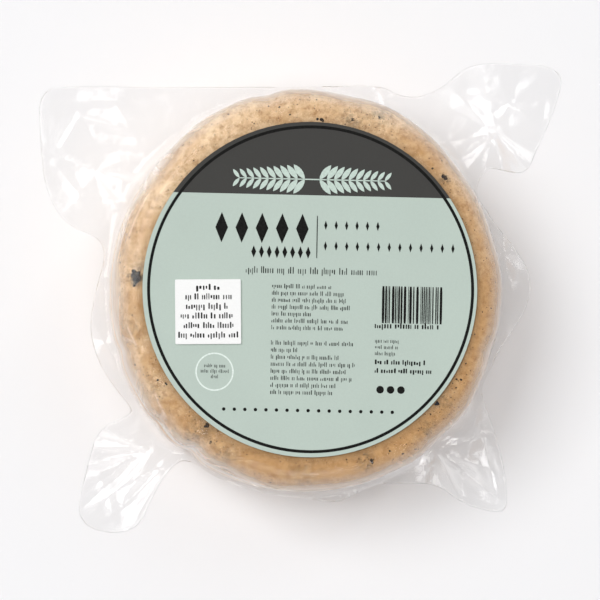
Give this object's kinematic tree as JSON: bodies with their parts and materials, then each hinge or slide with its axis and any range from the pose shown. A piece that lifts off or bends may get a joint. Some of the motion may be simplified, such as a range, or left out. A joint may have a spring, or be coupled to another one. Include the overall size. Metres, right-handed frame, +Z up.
{
  "type": "vacuum-packed truffle goat cheese wheel",
  "caption": "Round goat cheese wheel with truffle specks, vacuum-sealed in a clear bag with flared corners, with a round paper label and a small sticker on top.",
  "frame": {"origin": "centre of the flat underside of the wheel, on the surface that it stands on", "axes": "+Z up through the label, +X to the right and +Y to the top of the label as it is read"},
  "size_m": [0.1468, 0.1321, 0.0433],
  "materials": {
    "cheese": "satin",
    "clear_film": "gloss",
    "mint_paper": "satin",
    "white_paper": "satin"
  },
  "bodies": {
    "root": {"cheese_wheel": "cheese", "clear_bag": "clear_film", "round_label": "mint_paper", "small_sticker": "white_paper"}
  },
  "joints": []
}
